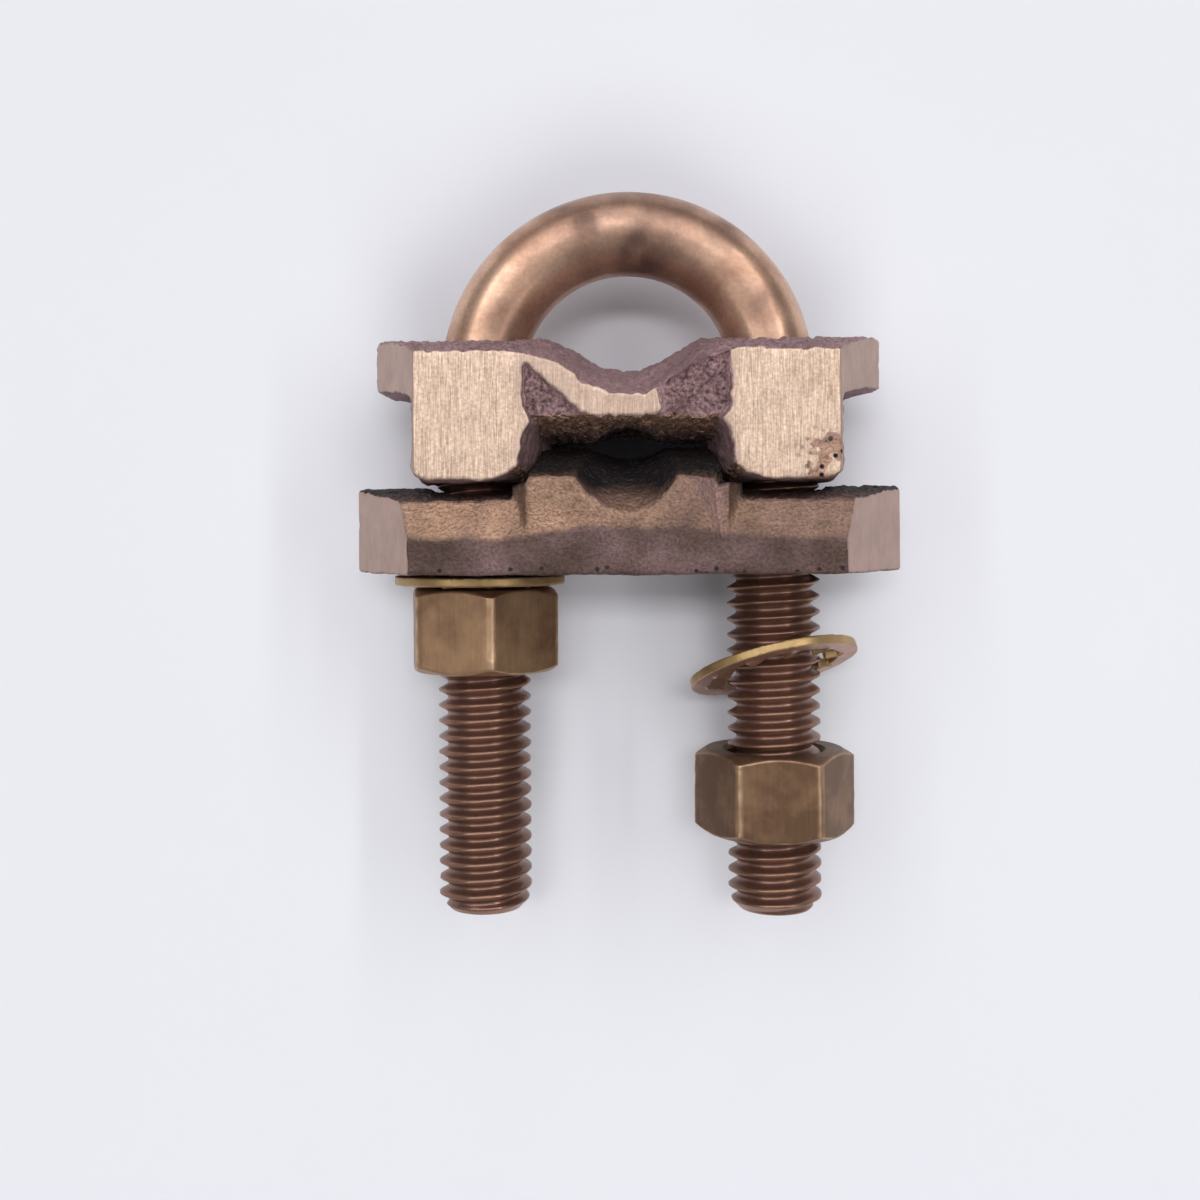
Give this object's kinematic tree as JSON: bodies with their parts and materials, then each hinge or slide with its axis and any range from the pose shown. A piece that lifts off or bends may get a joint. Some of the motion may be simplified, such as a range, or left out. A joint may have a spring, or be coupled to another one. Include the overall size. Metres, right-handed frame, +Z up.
{
  "type": "mechanical grounding connector",
  "caption": "Bronze U-bolt grounding clamp: a cast saddle and a cast plate ride on the threaded legs and are drawn together by nuts on toothed washers, to join a ground rod to a cable.",
  "frame": {"origin": "on the surface that the connector lies on, below the middle of its length and width", "axes": "+X across the two legs, +Y along the legs towards the bend, +Z up from the surface, through the castings' depth"},
  "size_m": [0.0544, 0.0728, 0.0254],
  "materials": {
    "bronze_rod": "satin",
    "cast_bronze": "rough sand-cast",
    "stamped_bronze": "satin",
    "turned_bronze": "satin, oxidised"
  },
  "bodies": {
    "u_bolt": {"u_bolt": "bronze_rod"},
    "saddle": {"saddle": "cast_bronze"},
    "clamp_plate": {"clamp_plate": "cast_bronze"},
    "left_washer": {"left_lock_washer": "stamped_bronze"},
    "left_nut": {"left_nut": "turned_bronze"},
    "right_washer": {"right_lock_washer": "stamped_bronze"},
    "right_nut": {"right_nut": "turned_bronze"}
  },
  "joints": [
    {"name": "clamp_plate_slide", "type": "slide", "parent": "u_bolt", "child": "clamp_plate", "axis": [0, 1, 0], "range_m": [-0.00556, 0]},
    {"name": "saddle_slide", "type": "slide", "parent": "u_bolt", "child": "saddle", "axis": [0, 1, 0], "range_m": [-0.00278, 0]},
    {"name": "left_washer_slide", "type": "slide", "parent": "u_bolt", "child": "left_washer", "axis": [0, 1, 0], "range_m": [-0.00556, 0]},
    {"name": "left_nut_turn", "type": "hinge", "parent": "left_washer", "child": "left_nut", "pos_m": [-0.01475, -0.008, 0.0127], "axis": [0, 1, 0], "range_deg": [-1260, 0]},
    {"name": "right_washer_slide", "type": "slide", "parent": "u_bolt", "child": "right_washer", "axis": [0, 1, 0], "range_m": [-0.01429, 0]},
    {"name": "right_nut_turn", "type": "hinge", "parent": "right_washer", "child": "right_nut", "pos_m": [0.01475, -0.0244, 0.0127], "axis": [0, 1, 0], "range_deg": [-3240, 0]}
  ],
  "couplings": [
    {"joint": "left_nut_turn", "follows": "clamp_plate_slide", "rad_per_m": 3957.9},
    {"joint": "left_washer_slide", "follows": "clamp_plate_slide", "ratio": 1},
    {"joint": "saddle_slide", "follows": "clamp_plate_slide", "ratio": 0.5},
    {"joint": "right_nut_turn", "follows": "right_washer_slide", "rad_per_m": 3957.9}
  ]
}
